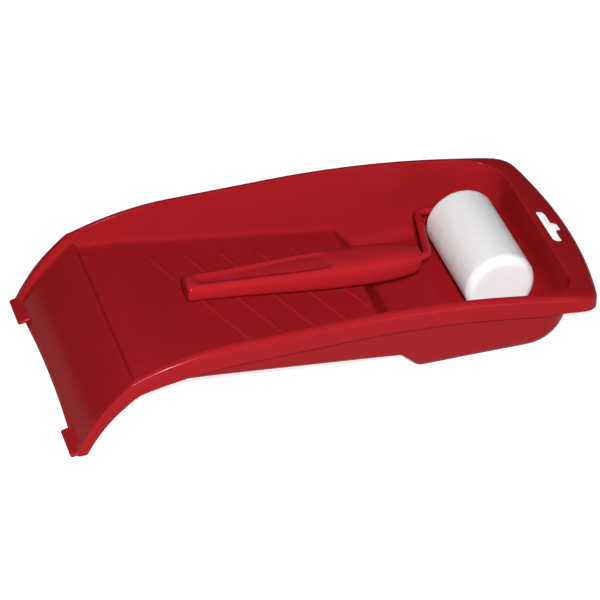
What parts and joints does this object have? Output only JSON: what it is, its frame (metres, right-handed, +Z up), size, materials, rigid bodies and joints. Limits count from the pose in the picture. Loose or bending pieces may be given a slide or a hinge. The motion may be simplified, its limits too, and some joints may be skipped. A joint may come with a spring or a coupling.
{
  "type": "mini paint tray with foam roller",
  "caption": "Mini paint tray with a ribbed ramp, a deep well, a pouring lip and a hang slot, and a short-handled roller frame whose foam refill spins and lifts out.",
  "frame": {"origin": "On the table, under the middle of the tray's length and width.", "axes": "+X runs along the tray from the lip to the well, +Y across it to the back, +Z up."},
  "size_m": [0.303, 0.139, 0.051],
  "materials": {
    "tray_plastic": "glossy red moulding with a fine mould grain",
    "handle_plastic": "glossy red moulding",
    "coated_wire": "red coated steel wire",
    "nylon": "natural white moulding",
    "spring_steel": "plain spring steel",
    "tube_plastic": "extruded grey tube",
    "foam": "fine-pored white foam"
  },
  "bodies": {
    "tray": {"tray": "tray_plastic"},
    "roller_frame": {"handle": "handle_plastic", "wire_frame": "coated_wire", "stop_collar": "nylon", "retaining_clip": "spring_steel"},
    "refill": {"core_tube": "tube_plastic", "far_bush": "nylon", "near_bush": "nylon", "foam_sleeve": "foam"}
  },
  "joints": [
    {"name": "lift_out", "type": "slide", "parent": "tray", "child": "roller_frame", "axis": [0, 0, 1], "range_m": [0, 0.1]},
    {"name": "roller_spin", "type": "hinge", "parent": "roller_frame", "child": "refill", "pos_m": [0.1005, 0.0027, 0.02165], "axis": [0, 1, 0], "continuous": true}
  ]
}
